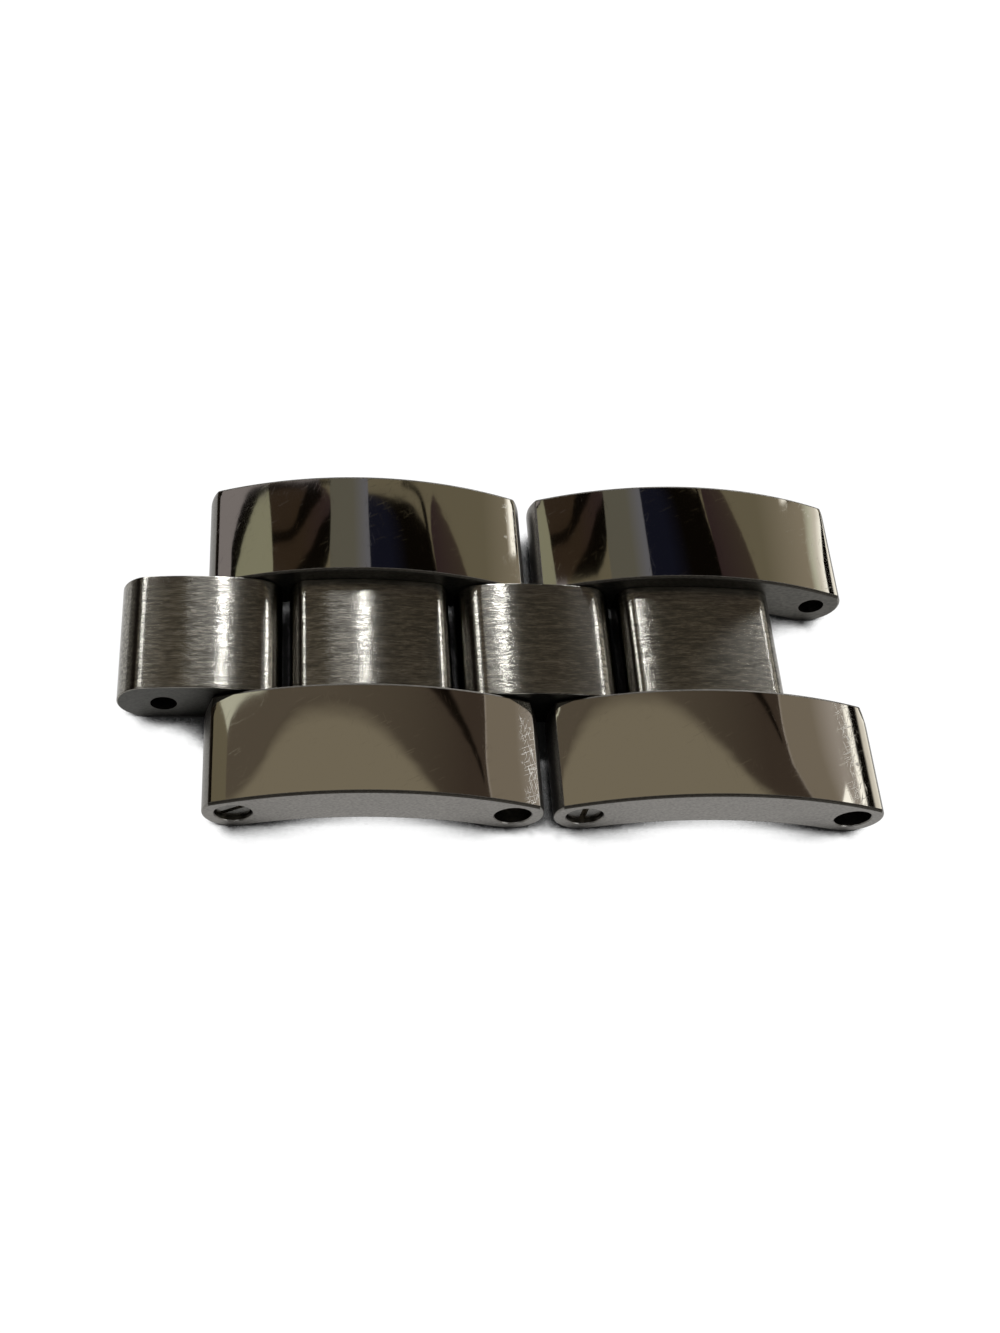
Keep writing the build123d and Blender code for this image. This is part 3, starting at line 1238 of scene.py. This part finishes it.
@dataclass
class Table:
    """A white table top in a white room, lit from above.

    Attributes:
        half_size: of the top, in metres.
        albedo: of the top in the lamp's light.
        glow: of the top, where 1 shows as white.
        gap_reach: how near a piece has to be to dim the glow into painted shade, in millimetres.
        gap_open: share of open space over which the glow is full.
        gap_shut: share of open space under which there is no glow.
        gap_samples: rays that look for open space.
        rear_lean: how far that look leans to the rear.
        lamp_height: in metres.
        lamp_size: in metres.
        lamp_power: in watts.
    """

    half_size: float = 1.6
    albedo: str = "#2c2c2c"
    glow: float = 1.02
    gap_reach: float = 2.8
    gap_open: float = 0.52
    gap_shut: float = 0.38
    gap_samples: int = 16
    rear_lean: float = 0.9
    lamp_height: float = 0.7
    lamp_size: float = 0.5
    lamp_power: float = 0.15

    def build(self) -> None:
        """Make the table top, the room and the lamp."""
        self.top()
        self.room()
        self.lamp()

    def paint(self) -> bpy.types.Material:
        """White paint that glows to the camera and in the metal, with painted shade in narrow gaps, where
        the glow fades.

        Returns:
            The paint.
        """
        made, add = new_material("white_table")
        flat = add("ShaderNodeBsdfDiffuse", {"Color": linear(self.albedo)})
        path = add("ShaderNodeLightPath").outputs
        seen: Node | Socket = path["Is Camera Ray"]
        for ray in ("Is Glossy Ray", "Is Transmission Ray"):
            seen = add("ShaderNodeMath", {0: seen, 1: path[ray]}, operation="MAXIMUM")
        # The glow fades where pieces close round the floor, more so towards the front of the bracelet:
        # painted shade in the gaps.
        rearwards = add("ShaderNodeCombineXYZ", {"Y": self.rear_lean, "Z": 1.0})
        space = add("ShaderNodeAmbientOcclusion", {
            "Distance": self.gap_reach * MM, "Normal": rearwards,
        }, samples=self.gap_samples)
        lit = add("ShaderNodeMapRange", {
            "Value": space.outputs["AO"], "From Min": self.gap_shut, "From Max": self.gap_open,
            "To Max": self.glow,
        }, interpolation_type="SMOOTHSTEP")
        strength = add("ShaderNodeMath", {0: seen, 1: lit}, operation="MULTIPLY")
        glow = add("ShaderNodeEmission", {"Strength": strength})
        both = add("ShaderNodeAddShader", {0: flat, 1: glow})
        add("ShaderNodeOutputMaterial", {"Surface": both})
        return made

    def top(self) -> None:
        """A flat top."""
        h = self.half_size
        mesh = bpy.data.meshes.new("table_top")
        mesh.from_pydata([(-h, -h, 0.0), (h, -h, 0.0), (h, h, 0.0), (-h, h, 0.0)], [], [(0, 1, 2, 3)])
        mesh.materials.append(self.paint())
        add_object("table_top", mesh)

    def room(self) -> None:
        """A plain white world."""
        world = bpy.data.worlds.new("white_room")
        bpy.context.scene.world = world
        world.use_nodes = True
        tree = world.node_tree
        tree.nodes.clear()
        sky = add_node(tree, "ShaderNodeBackground", {"Color": (1.0, 1.0, 1.0, 1.0), "Strength": 1.0})
        add_node(tree, "ShaderNodeOutputWorld", {"Surface": sky})

    def lamp(self) -> None:
        """A soft lamp above, which the metal doesn't show."""
        light = bpy.data.lights.new("soft_lamp", "AREA")
        light.size = self.lamp_size
        light.energy = self.lamp_power
        lamp = add_object("soft_lamp", light)
        lamp.location = (0.0, 0.0, self.lamp_height)
        lamp.visible_glossy = False


class Shade(Enum):
    """The tent's colours, as the polished steel shows them."""

    BLACK = "#070503"
    NAVY = "#0f101a"
    INK = "#15100c"
    EARTH = "#2a2118"
    COAL = "#2b2926"
    ASH = "#4b4945"
    FLINT = "#6c6a65"
    PLUM = "#2a2020"
    COCOA = "#342c25"
    BROWN = "#403930"
    BARK = "#4b443a"
    MOSS = "#504e45"
    OLIVE = "#5a5444"
    SLATE = "#56565b"
    STRAW = "#6b6455"
    SAND = "#776f60"
    SAGE = "#757461"
    MAUVE = "#6f6a6a"
    TAUPE = "#6a6256"
    STONE = "#88817a"
    PALE = "#a2a292"
    CLOUD = "#bab5aa"
    WHITE = "#f4f2ea"
    LAMP = "#eef1f6"


Stops = tuple[tuple[float, Shade], ...]
Edge = tuple[Point, ...]


def plain(shade: Shade) -> Stops:
    """The stops of a card of one colour."""
    return (0.0, shade), (1.0, shade)


@cache
def glowing_paint(stops: Stops, along: bool, strength: float) -> bpy.types.Material:
    """The glowing paint of a card, made once.

    Args:
        stops: its colours, from the card's first edge to the other.
        along: whether the colours run along the edges instead.
        strength: how much brighter than its colours it is.

    Returns:
        The paint, bright enough to have these colours in polished steel.
    """
    made, add = new_material("card_paint")
    split = add("ShaderNodeSeparateXYZ", {"Vector": add("ShaderNodeUVMap", uv_map="card")})
    ramp = add("ShaderNodeValToRGB", {"Fac": split.outputs["X" if along else "Y"]})
    elements = ramp.color_ramp.elements
    while len(elements) < len(stops):
        elements.new(0.5)
    for element, (share, shade) in zip(elements, stops):
        element.position = share
        element.color = linear(shade.value)
    reflectance = linear(POLISH.colour)[1]
    glow = add("ShaderNodeEmission", {"Color": ramp, "Strength": strength / reflectance})
    add("ShaderNodeOutputMaterial", {"Surface": glow})
    made.cycles.emission_sampling = "AUTO" if strength > 1.0 else "NONE"
    return made


@dataclass(frozen=True)
class Card:
    """A coloured card on the inside of the tent.

    Places are two angles in degrees: along the bracelet from straight up, and then
    towards its rear. The card fills the space between two smooth edges.

    Attributes:
        name: what the card is.
        edge: points of its first edge.
        other_edge: points of the edge facing it.
        stops: its colours, from its first edge to the other.
        layer: cards with a higher number hang in front.
        along: whether the colours run along the edges instead.
        strength: how much brighter than its colours it is.
    """

    name: str
    edge: Edge
    other_edge: Edge
    stops: Stops
    layer: int = 1
    along: bool = False
    strength: float = 1.0

    @classmethod
    def panel(cls, name: str, ends: Point, tilts: Point, stops: Stops, **settings: Any) -> "Card":
        """A card with four straight edges, between two places along the bracelet and two tilts."""
        low, high = (tuple((end, tilt) for end in ends) for tilt in tilts)
        return cls(name, low, high, stops, **settings)


@dataclass
class Tent:
    """A dome of coloured cards that only the metal's reflections show.

    Attributes:
        radius: in metres.
        layer_gap: between two layers of cards, in metres.
        edge_steps: points along a card's edge.
        width_steps: points from edge to edge.
        front_share: how bright the front copies of the lamps are, as a share.
        limit: how far the tent reaches on each side, in degrees.
        lamp_tilts: where the lamps start and end, in degrees towards the rear.
        overhead_tilts: the same for the panels overhead.
        seam: where the near and far walls meet.
    """

    radius: float = 0.600
    layer_gap: float = 0.0015
    edge_steps: int = 72
    width_steps: int = 14
    front_share: float = 0.12
    limit: float = 89.9
    lamp_tilts: Point = (40, 70)
    overhead_tilts: Point = (-13, 13)
    seam: Edge = ((-50, 30.0), (-10, 29.8), (20, 29.6), (40, 28.6), (56, 27.2), (76, 25.0))

    def build(self) -> None:
        """Hang every card, and the front ones again mirrored for the rear."""
        for card in (*self.walls(), *self.lamps()):
            self.hang(card)
        for card in (*self.near_cards(), *self.far_cards()):
            self.hang(card)
            self.hang(card, mirrored=True)
        for card in self.lamps():
            self.hang(replace(card, strength=card.strength * self.front_share), mirrored=True)

    def hang(self, card: Card, mirrored: bool = False) -> None:
        """Make a card and hang it.

        Args:
            card: the card.
            mirrored: whether it hangs on the other side, towards the bracelet's front.
        """
        first = smooth_path(card.edge, self.edge_steps)
        second = smooth_path(card.other_edge, self.edge_steps)
        radius = self.radius - card.layer * self.layer_gap
        flip = -1 if mirrored else 1
        points, faces, sides = [], [], []
        for step, (one, other) in enumerate(zip(first, second)):
            for part in range(self.width_steps):
                share = part / (self.width_steps - 1)
                along, across = (math.radians(a + (b - a) * share) for a, b in zip(one, other))
                across *= flip
                points.append((
                    radius * math.sin(along) * math.cos(across),
                    radius * math.sin(across),
                    radius * math.cos(along) * math.cos(across),
                ))
                sides.append((step / (self.edge_steps - 1), share))
        for step in range(self.edge_steps - 1):
            for part in range(self.width_steps - 1):
                corner = step * self.width_steps + part
                faces.append((corner, corner + 1, corner + self.width_steps + 1, corner + self.width_steps))
        name = f"card_{card.name}" + ("_front" if mirrored else "")
        mesh = bpy.data.meshes.new(name)
        mesh.from_pydata(points, [], faces)
        layer = mesh.uv_layers.new(name="card")
        for loop in mesh.loops:
            layer.data[loop.index].uv = sides[loop.vertex_index]
        mesh.materials.append(glowing_paint(card.stops, card.along, card.strength))
        hung = add_object(name, mesh)
        for ray in ("camera", "diffuse", "transmission", "shadow"):
            setattr(hung, f"visible_{ray}", False)

    def walls(self) -> list[Card]:
        """The tent itself and the broad panels that the other views see."""
        limits = (-self.limit, self.limit)
        shades = (
            (0.0, Shade.ASH), (0.1, Shade.ASH), (0.14, Shade.INK), (0.22, Shade.INK), (0.27, Shade.FLINT),
            (0.37, Shade.COAL), (0.5, Shade.ASH), (0.6, Shade.COAL), (0.73, Shade.COAL), (0.87, Shade.FLINT),
            (1.0, Shade.ASH),
        )
        return [
            Card.panel("tent", limits, limits, shades, layer=-6, along=True),
            Card.panel("overhead", (-36, -5), self.overhead_tilts,
                       ((0.0, Shade.FLINT), (1.0, Shade.STONE)), layer=-2, along=True),
            Card.panel("overhead_right", (12, 38), self.overhead_tilts,
                       ((0.0, Shade.STONE), (1.0, Shade.FLINT)), layer=-2, along=True),
        ]

    def lamps(self) -> list[Card]:
        """The four lamps that the brushed centre pieces smear into bands."""
        places = (
            ("left", (-44, -30), 13.0), ("glare", (-9, -0.5), 1.7),
            ("middle", (2.1, 3.7), 48.0), ("right", (54, 67), 24.0),
        )
        return [
            Card.panel(f"lamp_{name}", ends, self.lamp_tilts, plain(Shade.LAMP), layer=6, strength=strength)
            for name, ends, strength in places
        ]

    def near_cards(self) -> list[Card]:
        """What the front outer pieces show: a pale hill on brown, and a bright window at the right."""
        return [
            Card("wall", ((-50, 19), (-20, 19), (10, 19), (40, 18), (60, 16), (76, 14)), self.seam,
                 ((0.0, Shade.BARK), (0.2, Shade.BARK), (0.4, Shade.BROWN), (0.55, Shade.COCOA),
                  (1.0, Shade.COCOA)), along=True),
            Card("hill",
                 ((-50, 19), (-45, 19), (-40, 19), (-36, 19), (-32, 19), (-28, 19), (-23, 19), (-17, 19),
                  (-9, 19), (0, 19), (6, 19), (11, 19), (16, 19), (21, 19), (24.5, 19), (28, 18.5), (33, 18),
                  (39, 18), (47, 18)),
                 ((-50, 22.6), (-44, 22.8), (-40.4, 23.1), (-36.5, 23.7), (-32.3, 24.5), (-28.5, 25.5),
                  (-23, 26.5), (-17.5, 27.0), (-9, 27.15), (0, 26.9), (6.5, 26.3), (11.5, 25.6), (16, 24.8),
                  (21, 23.9), (24.5, 23.2), (28, 22.5), (33, 21.8), (39, 21.2), (47, 20.7)),
                 ((0.0, Shade.STRAW), (0.88, Shade.STRAW), (1.0, Shade.BROWN)), layer=2),
            Card("wedge", ((-43.5, 25.4), (-44.6, 26.0), (-46.2, 26.6), (-47.5, 27.3), (-48.0, 28.6)),
                 ((-43.4, 25.45), (-42.3, 26.0), (-40.4, 26.5), (-36.7, 26.95), (-30.0, 27.3)),
                 plain(Shade.PALE), layer=4),
            Card("left_strip", ((-48.7, 19), (-48.6, 28)), ((-43.7, 19), (-43.5, 28)), plain(Shade.OLIVE),
                 layer=3),
            Card("left_line", ((-50.2, 17), (-50.2, 28.5)), ((-48.7, 17), (-48.6, 28.5)), plain(Shade.BLACK),
                 layer=4),
            Card("shadow",
                 ((18, 28.6), (21.5, 27.7), (26, 27.0), (29.8, 26.3), (32.8, 25.7), (35.6, 25.0),
                  (37.9, 24.2), (39.3, 23.6)),
                 ((29, 28.6), (30, 27.6), (32.8, 26.7), (35.4, 25.9), (37.6, 25.1), (39.0, 24.4),
                  (39.6, 23.9), (39.8, 23.6)),
                 ((0.0, Shade.COCOA), (0.25, Shade.INK), (0.8, Shade.BLACK), (1.0, Shade.COCOA)), layer=3),
            Card("window",
                 ((41.9, 28.8), (41.3, 26.2), (40.6, 24.4), (41.6, 22.9), (44.2, 21.9), (47.4, 21.0),
                  (51.0, 20.2), (55.0, 19.5)),
                 tuple((63, tilt) for tilt in (28.8, 26.2, 24.4, 22.9, 21.9, 21.0, 20.2, 19.5)),
                 ((0.0, Shade.STONE), (0.03, Shade.TAUPE), (0.5, Shade.TAUPE), (0.85, Shade.STONE),
                  (1.0, Shade.STONE)), layer=3),
            Card("right_end", ((63, 28.8), (63, 17)), ((76, 28.8), (76, 17)),
                 ((0.0, Shade.STONE), (0.09, Shade.STONE), (0.16, Shade.WHITE), (0.27, Shade.WHITE),
                  (0.31, Shade.BLACK), (0.50, Shade.BLACK), (0.56, Shade.CLOUD), (1.0, Shade.WHITE)),
                 layer=3),
            Card("glint", ((59.7, 21.4), (57.4, 20.8), (55.6, 20.2), (54.0, 19.5), (53.0, 18.6)),
                 ((60.0, 21.4), (61.2, 20.9), (62.2, 20.3), (62.8, 19.5), (63.0, 18.6)), plain(Shade.WHITE),
                 layer=4),
        ]

    def far_cards(self) -> list[Card]:
        """What the rear outer pieces show: pale patches between a brown block and a dark blue one."""
        top = ((-50, 38), (-20, 38.5), (20, 38.5), (40, 38), (60, 37), (76, 36))
        line = ((-43.2, 30.2), (-42.2, 32.0), (-40.9, 32.8), (-39.2, 33.7), (-37.0, 34.5), (-34.8, 35.2))
        line_width = 2.2
        line_b = ((73.0, 32.7), (71.6, 31.9), (70.4, 31.2), (69.4, 30.4), (69.0, 29.5), (69.0, 28.4),
                  (69.1, 27.2), (69.1, 26.0))
        block = ((-29.1, 32.2), (-29.3, 32.9), (-29.6, 33.5), (-29.9, 34.2), (-30.5, 35.0), (-31.0, 35.55))
        block_side = ((-14.5, 31.9), (-11.6, 32.5), (-10.0, 33.1), (-9.5, 33.8), (-9.3, 34.5), (-9.2, 35.2))
        return [
            Card("far_wall", self.seam, top,
                 ((0.0, Shade.OLIVE), (0.66, Shade.OLIVE), (0.76, Shade.STRAW), (0.85, Shade.SAND),
                  (1.0, Shade.SAND)), along=True),
            Card("far_left", ((-48.7, 30), (-48.7, 37.5)), ((-30, 30), (-10, 37.5)), plain(Shade.MAUVE),
                 layer=2),
            Card("far_left_line", ((-50.2, 30), (-50.2, 37.5)), ((-48.7, 30), (-48.7, 37.5)),
                 plain(Shade.BLACK), layer=3),
            Card("sage", (*line, (-31.1, 35.55)), ((-28.6, 30.2), *block), plain(Shade.SAGE), layer=4),
            Card("curved_line",
                 ((-44.4, 30.2), (-43.9, 31.9), (-43.8, 33.1), (-42.6, 33.9), (-40.9, 34.7), (-38.9, 35.3),
                  (-36.8, 35.6), (-32.4, 35.85), (-23.5, 36.05), (-9.3, 36.35)),
                 (*line, (-32.1, 35.5), (-27.1, 35.7), (-20.0, 35.85), (-9.1, 36.15)), plain(Shade.BLACK),
                 layer=5),
            Card("block", ((-28.6, 31.9), *block, (-31.2, 36.1)), (*block_side, (-9.8, 35.7), (-13.6, 36.1)),
                 ((0.0, Shade.EARTH), (0.5, Shade.EARTH), (1.0, Shade.PLUM)), layer=4),
            Card("block_shadow",
                 ((-24, 31.9), (-20.4, 32.6), (-16.9, 33.2), (-14.6, 33.8), (-12.4, 34.5), (-9.8, 34.9)),
                 block_side, plain(Shade.BLACK), layer=5),
            Card("block_curve",
                 ((-29.6, 33.9), (-24.2, 34.1), (-21.4, 34.5), (-19.9, 35.1), (-17.9, 35.7), (-16.4, 36.1)),
                 ((-29.4, 33.4), (-23.4, 33.6), (-19.3, 34.2), (-17.1, 34.7), (-13.7, 35.3), (-11.2, 35.8)),
                 plain(Shade.BLACK), layer=5),
            Card("moss", ((-9.7, 30.2), (-9.6, 33.5), (-9.4, 37)), ((4.3, 30.2), (4.1, 33.5), (3.9, 37)),
                 ((0.0, Shade.MOSS), (0.6, Shade.MOSS), (0.93, Shade.SLATE), (1.0, Shade.SLATE)), layer=3),
            Card("navy",
                 ((4.3, 29.2), (4.3, 30.6), (4.2, 32.2), (4.1, 33.5), (4.0, 34.4), (3.9, 35.0), (3.9, 35.4),
                  (3.9, 35.8)),
                 ((29.6, 29.2), (28.7, 30.6), (27.6, 32.2), (26.0, 33.5), (24.2, 34.4), (21.5, 35.0),
                  (17.5, 35.5), (8.0, 35.8)),
                 ((0.0, Shade.NAVY), (0.32, Shade.NAVY), (0.6, Shade.BLACK), (1.0, Shade.BLACK)), layer=4),
            Card("navy_line",
                 ((26.0, 33.5), (24.6, 34.2), (23.4, 34.9), (22.3, 35.6), (19.7, 36.0), (15.4, 36.2)),
                 ((26.2, 33.5), (25.5, 34.0), (24.8, 34.7), (24.0, 35.4), (21.5, 36.1), (16.9, 36.4)),
                 plain(Shade.BLACK), layer=5),
            Card("cocoa",
                 ((29.6, 29.2), (27.6, 32.2), (26.2, 33.8), (25.9, 34.8), (26.4, 35.4), (27.2, 35.7)),
                 ((43.4, 29.2), (40.0, 31.4), (37.2, 32.8), (34.0, 34.0), (30.5, 35.0), (27.6, 35.75)),
                 ((0.0, Shade.PLUM), (1.0, Shade.COCOA)), layer=3),
            Card("far_window_a", ((55.0, 33.1), (55.0, 37.0)), ((58.4, 33.1), (58.4, 37.0)),
                 ((0.0, Shade.SAND), (0.3, Shade.CLOUD), (0.5, Shade.WHITE), (1.0, Shade.WHITE)), layer=4),
            Card("far_end_a", ((58.4, 33.1), (58.4, 37.0)), ((60.5, 33.1), (60.5, 37.0)), plain(Shade.INK),
                 layer=4),
            Card("far_window_b",
                 ((64.0, 37.0), (64.0, 32.7), (63.6, 31.9), (62.8, 31.2), (62.4, 30.4), (62.4, 29.5),
                  (62.6, 28.4), (63.0, 27.2), (63.4, 26.0)), ((73.0, 37.0), *line_b),
                 ((0.0, Shade.SAND), (0.3, Shade.PALE), (0.65, Shade.CLOUD), (1.0, Shade.WHITE)), layer=3),
            Card("far_line_b", line_b, tuple((place + line_width, tilt) for place, tilt in line_b),
                 plain(Shade.BLACK), layer=4),
            Card("far_end_b", line_b, tuple((80, tilt) for _, tilt in line_b),
                 ((0.0, Shade.CLOUD), (0.5, Shade.WHITE), (1.0, Shade.STONE)), layer=3),
        ]


@dataclass
class PhotoCamera:
    """A phone's camera close above the front of the bracelet.

    Attributes:
        place: millimetres from the bracelet's origin.
        heading: radians, from the rear towards the right.
        pitch: radians below the horizon.
        roll: radians, clockwise.
        focal_pixels: focal length in pixels of the whole picture.
        centre: pixel that the lens points at.
        picture: width and height of the whole picture, in pixels.
        sensor: width of the sensor, in millimetres.
        nearest: the nearest distance that it sees, in metres.
    """

    place: tuple[float, float, float] = (-15.737, -47.709, 85.720)
    heading: float = 0.1827
    pitch: float = 1.0197
    roll: float = 0.1780
    focal_pixels: float = 1560.5
    centre: Point = (390.0, 610.0)
    picture: Point = (1000.0, 1333.0)
    sensor: float = 36.0
    nearest: float = 0.005

    def build(self) -> None:
        """Make the camera and use it for the scene."""
        forward = Vector((
            math.sin(self.heading) * math.cos(self.pitch),
            math.cos(self.heading) * math.cos(self.pitch),
            -math.sin(self.pitch),
        ))
        level = Vector((math.cos(self.heading), -math.sin(self.heading), 0.0))
        upright = level.cross(forward)
        right = math.cos(self.roll) * level + math.sin(self.roll) * upright
        up = -math.sin(self.roll) * level + math.cos(self.roll) * upright
        lens = bpy.data.cameras.new("phone")
        long_side = max(self.picture)
        lens.sensor_width = self.sensor
        lens.lens = self.focal_pixels / long_side * self.sensor
        lens.shift_x = (self.picture[0] / 2 - self.centre[0]) / long_side
        lens.shift_y = (self.centre[1] - self.picture[1] / 2) / long_side
        lens.clip_start = self.nearest
        camera = add_object("phone", lens)
        turn = Matrix((right, up, -forward)).transposed().to_4x4()
        camera.matrix_world = Matrix.Translation(Vector(self.place) * MM) @ turn
        bpy.context.scene.camera = camera


def main() -> None:
    """Build the picture: camera, table, tent and bracelet."""
    logging.basicConfig(level=logging.INFO, format="%(name)s %(message)s")
    bpy.context.scene.view_settings.view_transform = "Standard"
    PhotoCamera().build()
    Table().build()
    Tent().build()
    Bracelet().build()


if __name__ == "__main__":
    main()
